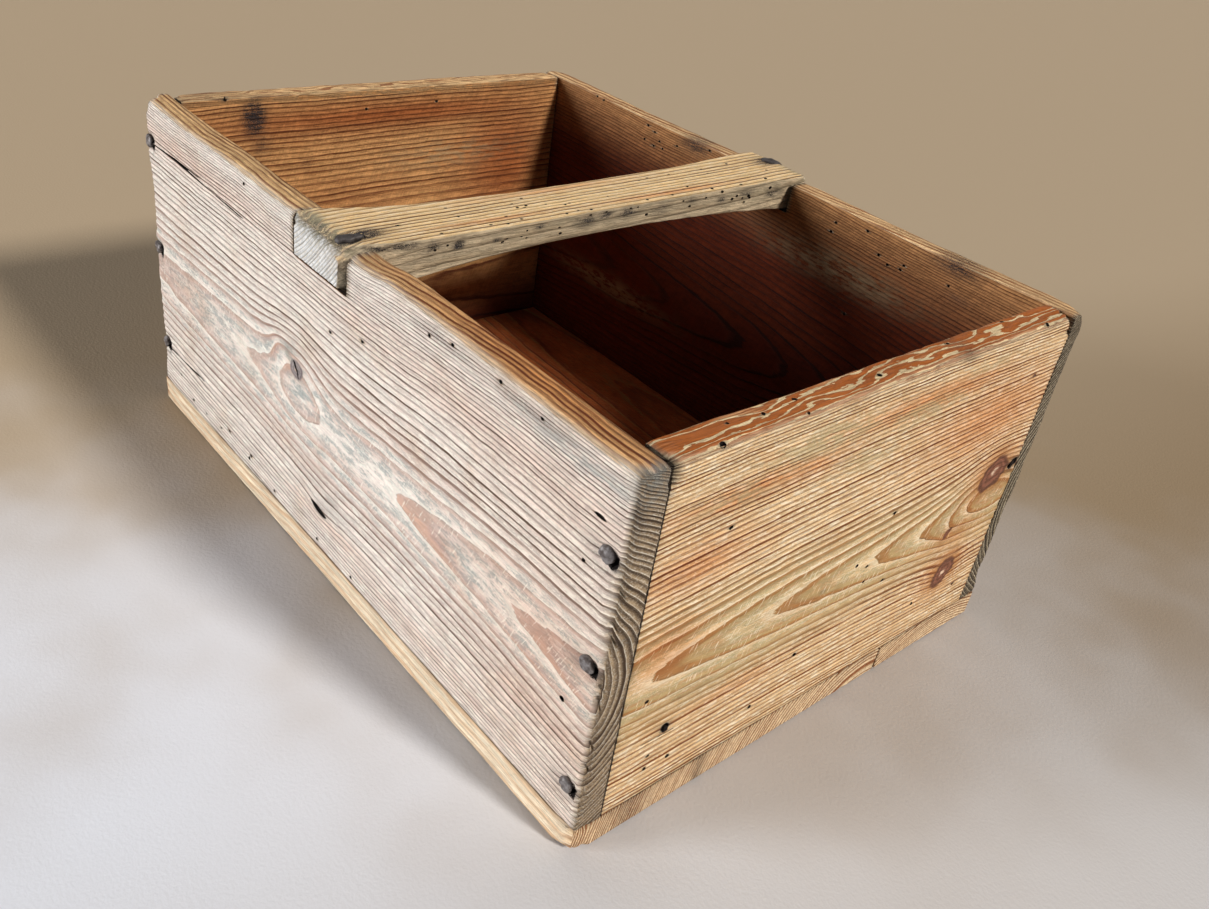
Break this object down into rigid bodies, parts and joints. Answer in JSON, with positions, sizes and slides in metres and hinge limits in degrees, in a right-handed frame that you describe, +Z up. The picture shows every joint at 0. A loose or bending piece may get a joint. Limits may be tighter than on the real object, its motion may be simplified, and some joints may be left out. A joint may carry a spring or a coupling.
{
  "type": "open carpenter's tool chest",
  "caption": "Open-topped rectangular wooden tool chest of nailed planks, with a board floor and a notched cross bar at mid length to lift and carry it by.",
  "frame": {"origin": "on the ground, at the centre of the chest's underside", "axes": "+X along the chest, +Y across it towards the back, +Z up"},
  "size_m": [0.54, 0.3864, 0.2536],
  "materials": {
    "bleached_side_wood": "bare weathered pine, bleached and raised-grained",
    "brown_side_wood": "bare aged pine, warm brown, dry",
    "golden_end_wood": "bare aged pine, golden, raised-grained",
    "floor_wood": "bare aged pine, dry",
    "bar_wood": "bare pine worn smooth by hands",
    "forged_iron": "dark hand-forged iron, matt"
  },
  "bodies": {
    "root": {"front_side_board": "bleached_side_wood", "back_side_board": "brown_side_wood", "left_end_board": "brown_side_wood", "right_end_board": "golden_end_wood", "front_floor_board": "floor_wood", "back_floor_board": "floor_wood", "carry_bar": "bar_wood", "front_left_corner_nails": "forged_iron", "front_right_corner_nails": "forged_iron", "back_left_corner_nails": "forged_iron", "back_right_corner_nails": "forged_iron", "front_bar_nail": "forged_iron", "back_bar_nail": "forged_iron", "front_floor_nails": "forged_iron", "back_floor_nails": "forged_iron", "left_floor_nails": "forged_iron", "right_floor_nails": "forged_iron"}
  },
  "joints": []
}
